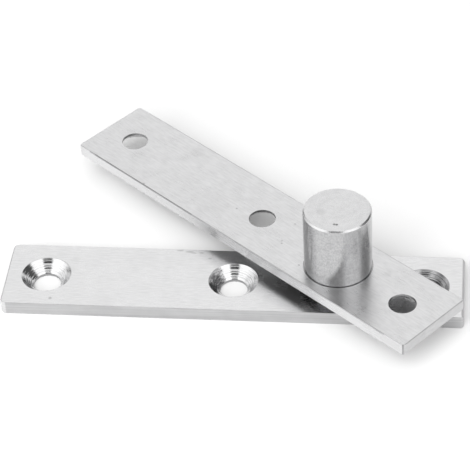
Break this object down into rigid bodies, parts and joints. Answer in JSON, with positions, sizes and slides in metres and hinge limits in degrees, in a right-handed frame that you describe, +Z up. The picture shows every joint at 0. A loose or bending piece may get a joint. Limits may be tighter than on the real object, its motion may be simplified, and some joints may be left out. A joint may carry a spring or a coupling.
{
  "type": "pivot hinge",
  "caption": "Flat steel pivot hinge: a countersunk base leaf and a door leaf that turns on a ball-bearing pivot inside an upright round barrel.",
  "frame": {"origin": "on the pivot axis at the underside of the base leaf", "axes": "+Z up along the pivot axis towards the top of the barrel, +X along the base leaf towards its short end"},
  "size_m": [0.13, 0.1012, 0.0311],
  "materials": {
    "leaf_steel": "brushed",
    "barrel_steel": "turned",
    "shaft_steel": "turned",
    "bearing_steel": "ground",
    "ball_steel": "polished",
    "cage_brass": "satin",
    "spring_steel": "oiled"
  },
  "bodies": {
    "base": {"base_leaf": "leaf_steel", "pivot_shaft": "shaft_steel", "thrust_shaft_washer": "bearing_steel", "thrust_sleeve": "bearing_steel", "lower_inner_ring": "bearing_steel", "inner_spacer": "bearing_steel", "upper_inner_ring": "bearing_steel", "retaining_ring": "spring_steel"},
    "door": {"door_leaf": "leaf_steel", "pivot_barrel": "barrel_steel", "thrust_housing_washer": "bearing_steel", "bearing_shim": "bearing_steel", "lower_outer_ring": "bearing_steel", "outer_spacer": "bearing_steel", "upper_outer_ring": "bearing_steel"},
    "thrust_balls": {"thrust_cage": "cage_brass", "thrust_ball_1": "ball_steel", "thrust_ball_2": "ball_steel", "thrust_ball_3": "ball_steel", "thrust_ball_4": "ball_steel", "thrust_ball_5": "ball_steel", "thrust_ball_6": "ball_steel", "thrust_ball_7": "ball_steel", "thrust_ball_8": "ball_steel", "thrust_ball_9": "ball_steel"},
    "lower_balls": {"lower_cage": "cage_brass", "lower_ball_1": "ball_steel", "lower_ball_2": "ball_steel", "lower_ball_3": "ball_steel", "lower_ball_4": "ball_steel", "lower_ball_5": "ball_steel", "lower_ball_6": "ball_steel", "lower_ball_7": "ball_steel", "lower_ball_8": "ball_steel", "lower_ball_9": "ball_steel"},
    "upper_balls": {"upper_cage": "cage_brass", "upper_ball_1": "ball_steel", "upper_ball_2": "ball_steel", "upper_ball_3": "ball_steel", "upper_ball_4": "ball_steel", "upper_ball_5": "ball_steel", "upper_ball_6": "ball_steel", "upper_ball_7": "ball_steel", "upper_ball_8": "ball_steel", "upper_ball_9": "ball_steel"}
  },
  "joints": [
    {"name": "leaf_pivot", "type": "hinge", "parent": "base", "child": "door", "pos_m": [0, 0, 0.0111], "axis": [0, 0, 1], "continuous": true},
    {"name": "thrust_cage_turn", "type": "hinge", "parent": "base", "child": "thrust_balls", "pos_m": [0, 0, 0.0077], "axis": [0, 0, 1], "continuous": true},
    {"name": "lower_cage_turn", "type": "hinge", "parent": "base", "child": "lower_balls", "pos_m": [0, 0, 0.0132], "axis": [0, 0, 1], "continuous": true},
    {"name": "upper_cage_turn", "type": "hinge", "parent": "base", "child": "upper_balls", "pos_m": [0, 0, 0.0232], "axis": [0, 0, 1], "continuous": true}
  ],
  "couplings": [
    {"joint": "thrust_cage_turn", "follows": "leaf_pivot", "ratio": 0.5},
    {"joint": "lower_cage_turn", "follows": "leaf_pivot", "ratio": 0.58333},
    {"joint": "upper_cage_turn", "follows": "leaf_pivot", "ratio": 0.58333}
  ]
}
